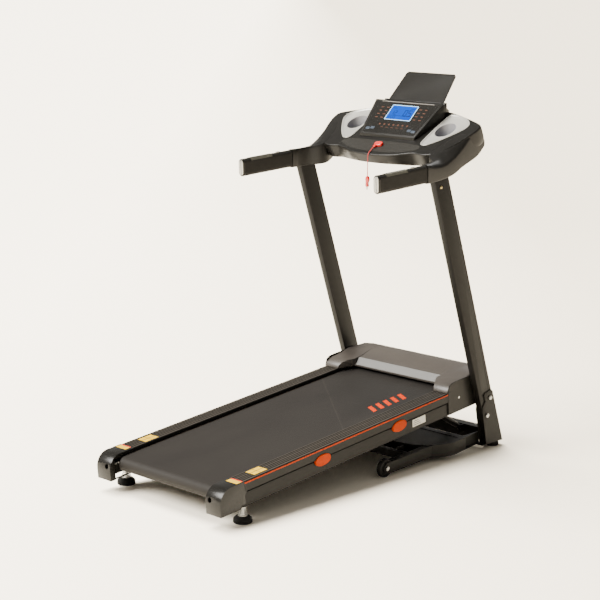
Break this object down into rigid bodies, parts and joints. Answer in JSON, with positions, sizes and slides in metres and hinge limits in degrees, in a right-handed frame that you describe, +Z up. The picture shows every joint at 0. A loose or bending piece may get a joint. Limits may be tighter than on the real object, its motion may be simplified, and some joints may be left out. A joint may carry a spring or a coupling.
{
  "type": "treadmill",
  "caption": "Folding home treadmill with a ribbed-rail deck, leaning uprights, tilted console, cup trays, tablet rest and a red safety key on a lanyard.",
  "frame": {"origin": "centre of the footprint of the whole treadmill, on the floor", "axes": "+Y the way the runner faces, +X the runner's right, +Z up"},
  "size_m": [0.696, 1.4502, 1.3858],
  "materials": {
    "black_paint": "satin black powder coat",
    "bright_steel": "bright zinc and ground steel",
    "black_rubber": "matt black rubber",
    "belt_cover": "fine woven-look charcoal belt cover",
    "board_wood": "waxed fibreboard",
    "black_plastic": "fine-grained black moulding",
    "hood_plastic": "dark warm grey moulding",
    "silver_plastic": "silver paint",
    "pulse_metal": "polished sensor plate",
    "grip_foam": "soft black foam",
    "red_plastic": "glossy red moulding",
    "red_cord": "braided red cord",
    "screen_blue": "lit blue display",
    "motor_paint": "dark grey paint",
    "circuit_green": "coated circuit board"
  },
  "bodies": {
    "stand": {"base_frame": "black_paint", "handle_frame": "black_paint", "console_base": "black_plastic", "console_top": "black_plastic", "display_housing": "black_plastic", "display_screen": "screen_blue", "left_upright": "black_paint", "left_upright_bolts": "bright_steel", "left_deck_pivot": "bright_steel", "left_front_foot": "black_rubber", "left_wheel_bolt": "bright_steel", "left_cup_tray": "silver_plastic", "left_grip": "grip_foam", "left_grip_cap": "silver_plastic", "left_pulse_plate": "pulse_metal", "right_upright": "black_paint", "right_upright_bolts": "bright_steel", "right_deck_pivot": "bright_steel", "right_front_foot": "black_rubber", "right_wheel_bolt": "bright_steel", "right_cup_tray": "silver_plastic", "right_grip": "grip_foam", "right_grip_cap": "silver_plastic", "right_pulse_plate": "pulse_metal"},
    "deck": {"deck_frame": "black_paint", "running_board": "board_wood", "running_belt": "belt_cover", "front_axle": "bright_steel", "rear_axle": "bright_steel", "drive_motor": "motor_paint", "drive_belt": "black_rubber", "motor_controller": "circuit_green", "motor_hood": "hood_plastic", "belly_pan": "black_plastic", "power_inlet": "black_plastic", "power_switch_socket": "black_plastic", "left_foot_rail": "black_plastic", "left_end_cap": "black_plastic", "left_tension_bolt": "bright_steel", "right_foot_rail": "black_plastic", "right_end_cap": "black_plastic", "right_tension_bolt": "bright_steel"},
    "strut_lower": {"strut_cylinder": "black_paint"},
    "strut_upper": {"strut_rod": "bright_steel"},
    "front_roller_body": {"front_roller": "bright_steel"},
    "rear_roller_body": {"rear_roller": "bright_steel"},
    "motor_rotor_body": {"motor_rotor": "bright_steel"},
    "left_wheel_body": {"left_wheel": "black_rubber"},
    "right_wheel_body": {"right_wheel": "black_rubber"},
    "left_foot_body": {"left_rear_foot": "black_rubber", "left_foot_stud": "bright_steel"},
    "right_foot_body": {"right_rear_foot": "black_rubber", "right_foot_stud": "bright_steel"},
    "tablet_body": {"tablet_rest": "black_plastic"},
    "key_body": {"safety_key": "red_plastic", "lanyard_cord": "red_cord", "lanyard_clip": "red_plastic"},
    "switch_body": {"power_switch": "red_plastic"},
    "left_button_body": {"left_handle_button": "silver_plastic"},
    "right_button_body": {"right_handle_button": "silver_plastic"}
  },
  "joints": [
    {"name": "deck_fold", "type": "hinge", "parent": "stand", "child": "deck", "pos_m": [0, 0.61648, 0.19896], "axis": [-1, 0, 0], "range_deg": [0, 67]},
    {"name": "strut_swing", "type": "hinge", "parent": "stand", "child": "strut_lower", "pos_m": [0.195, 0.643, 0.056], "axis": [-1, 0, 0], "range_deg": [0, 33]},
    {"name": "strut_extend", "type": "slide", "parent": "strut_lower", "child": "strut_upper", "axis": [0, -0.8645, 0.5027], "range_m": [0, 0.099]},
    {"name": "front_roller_spin", "type": "hinge", "parent": "deck", "child": "front_roller_body", "pos_m": [0, 0.5195, 0.21466], "axis": [1, 0, 0], "continuous": true},
    {"name": "rear_roller_spin", "type": "hinge", "parent": "deck", "child": "rear_roller_body", "pos_m": [0, -0.66492, 0.09957], "axis": [1, 0, 0], "continuous": true},
    {"name": "motor_spin", "type": "hinge", "parent": "deck", "child": "motor_rotor_body", "pos_m": [0, 0.60715, 0.24327], "axis": [1, 0, 0], "continuous": true},
    {"name": "left_wheel_spin", "type": "hinge", "parent": "stand", "child": "left_wheel_body", "pos_m": [-0.295, 0.091, 0.033], "axis": [1, 0, 0], "continuous": true},
    {"name": "left_foot_level", "type": "slide", "parent": "deck", "child": "left_foot_body", "axis": [0, 0, -1], "range_m": [0, 0.012]},
    {"name": "left_button_press", "type": "slide", "parent": "stand", "child": "left_button_body", "axis": [0, 0.0567, -0.9984], "range_m": [0, 0.0016], "stiffness_N_per_m": 900},
    {"name": "right_wheel_spin", "type": "hinge", "parent": "stand", "child": "right_wheel_body", "pos_m": [0.295, 0.091, 0.033], "axis": [1, 0, 0], "continuous": true},
    {"name": "right_foot_level", "type": "slide", "parent": "deck", "child": "right_foot_body", "axis": [0, 0, -1], "range_m": [0, 0.012]},
    {"name": "right_button_press", "type": "slide", "parent": "stand", "child": "right_button_body", "axis": [0, 0.0567, -0.9984], "range_m": [0, 0.0016], "stiffness_N_per_m": 900},
    {"name": "tablet_tilt", "type": "hinge", "parent": "stand", "child": "tablet_body", "pos_m": [0, 0.575, 1.281], "axis": [1, 0, 0], "range_deg": [0, 35]},
    {"name": "key_pull", "type": "slide", "parent": "stand", "child": "key_body", "axis": [0, -0.4818, 0.8763], "range_m": [0, 0.03]},
    {"name": "power_rocker", "type": "hinge", "parent": "deck", "child": "switch_body", "pos_m": [0.233, 0.66845, 0.21205], "axis": [1, 0, 0], "range_deg": [0, 12]}
  ],
  "couplings": [
    {"joint": "strut_swing", "follows": "deck_fold", "ratio": 0.48},
    {"joint": "strut_extend", "follows": "deck_fold", "m_per_rad": 0.0845},
    {"joint": "rear_roller_spin", "follows": "front_roller_spin", "ratio": 1},
    {"joint": "motor_spin", "follows": "front_roller_spin", "ratio": 2.189}
  ]
}
